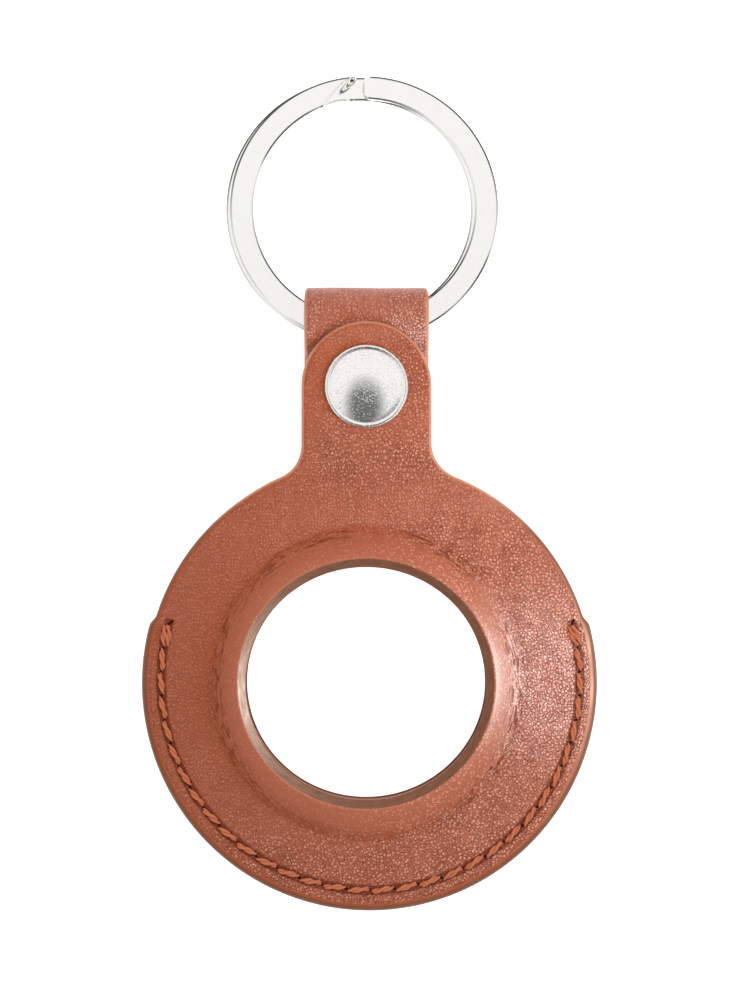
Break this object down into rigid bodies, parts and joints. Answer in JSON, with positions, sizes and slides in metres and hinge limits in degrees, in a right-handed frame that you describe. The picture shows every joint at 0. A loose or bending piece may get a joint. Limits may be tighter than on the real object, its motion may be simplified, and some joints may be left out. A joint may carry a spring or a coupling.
{
  "type": "leather tracker key ring holder",
  "caption": "Round stitched leather holder for a coin-shaped tracker, with a window on both sides, a snap tab and a split ring in its loop.",
  "frame": {"origin": "centre of the tracker window, midway between the two panels", "axes": "+Z out of the front face, +Y from the window towards the snap and the split ring, +X to the right seen from the front"},
  "size_m": [0.0508, 0.0931, 0.0101],
  "materials": {
    "face_leather": "terracotta brown, fine grain, satin",
    "lining_leather": "brown, matt, fine nap",
    "thread": "waxed brown thread",
    "snap_metal": "nickel plated, brushed satin",
    "spring_metal": "plain spring wire",
    "ring_metal": "polished nickel plate"
  },
  "bodies": {
    "holder": {"back_panel": "face_leather", "back_lining": "lining_leather", "front_panel": "face_leather", "front_lining": "lining_leather", "top_thread": "thread", "bobbin_thread": "thread", "snap_stud": "snap_metal", "stud_post": "snap_metal"},
    "flap": {"front_flap": "face_leather", "flap_lining": "lining_leather", "snap_cap": "snap_metal", "cap_post": "snap_metal", "snap_socket": "snap_metal", "socket_spring": "spring_metal"},
    "ring": {"split_ring": "ring_metal"}
  },
  "joints": [
    {"name": "flap_bend", "type": "hinge", "parent": "holder", "child": "flap", "pos_m": [0, 0.0095, 0.0041], "axis": [1, 0, 0], "range_deg": [0, 90]},
    {"name": "ring_swing", "type": "hinge", "parent": "holder", "child": "ring", "pos_m": [0, 0.0402, 0], "axis": [1, 0, 0], "range_deg": [-156, 168]}
  ]
}
